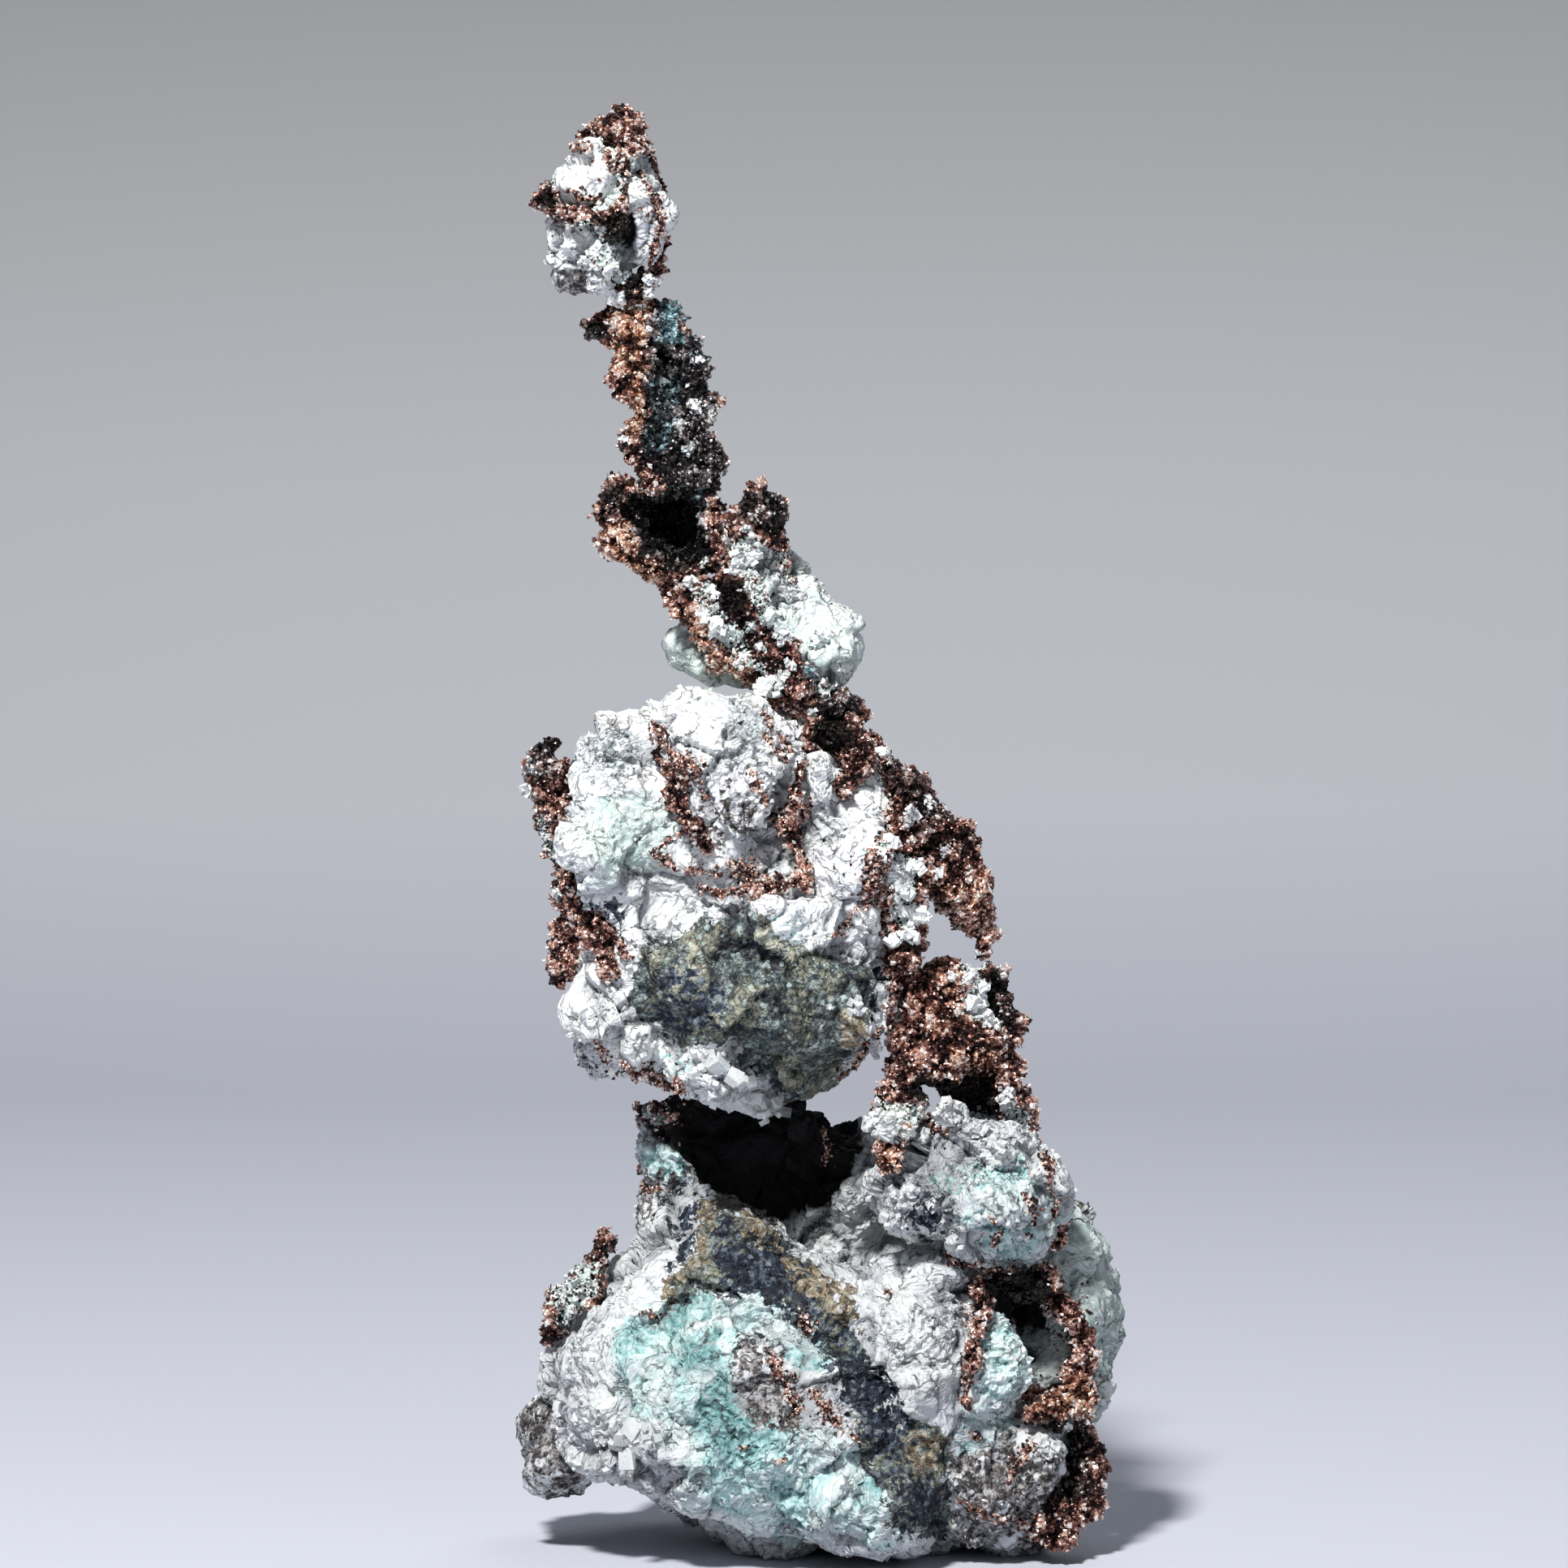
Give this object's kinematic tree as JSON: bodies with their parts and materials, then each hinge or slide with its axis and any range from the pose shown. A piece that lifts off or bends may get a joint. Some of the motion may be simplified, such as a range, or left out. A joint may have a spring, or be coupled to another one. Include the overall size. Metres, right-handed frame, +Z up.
{
  "type": "native copper specimen",
  "caption": "Standing mineral specimen: branching native copper grown through lumps of white and blue-green matrix, on a flat break.",
  "frame": {"origin": "middle of the specimen's footprint, at the level of the flat break that it stands on", "axes": "+Z up along the specimen's height, -Y out of the front where the copper shows best, +X to the right as seen from the front"},
  "size_m": [0.0462, 0.0328, 0.1081],
  "materials": {
    "white_matrix": "rough",
    "green_matrix": "rough",
    "copper": "rough metallic"
  },
  "bodies": {
    "root": {"base_rock": "white_matrix", "middle_rock": "white_matrix", "side_nodule": "white_matrix", "tip_calcite": "white_matrix", "right_lobe": "green_matrix", "neck_rock": "green_matrix", "copper_tip": "copper", "copper_spire": "copper", "copper_crook": "copper", "copper_neck": "copper", "copper_shoulder": "copper", "copper_flank": "copper", "copper_left_strand": "copper", "copper_lower_branch": "copper", "copper_foot": "copper", "copper_tuft": "copper", "copper_back_branch": "copper", "copper_base_back": "copper", "copper_face_blade": "copper", "copper_face_vein": "copper"}
  },
  "joints": []
}
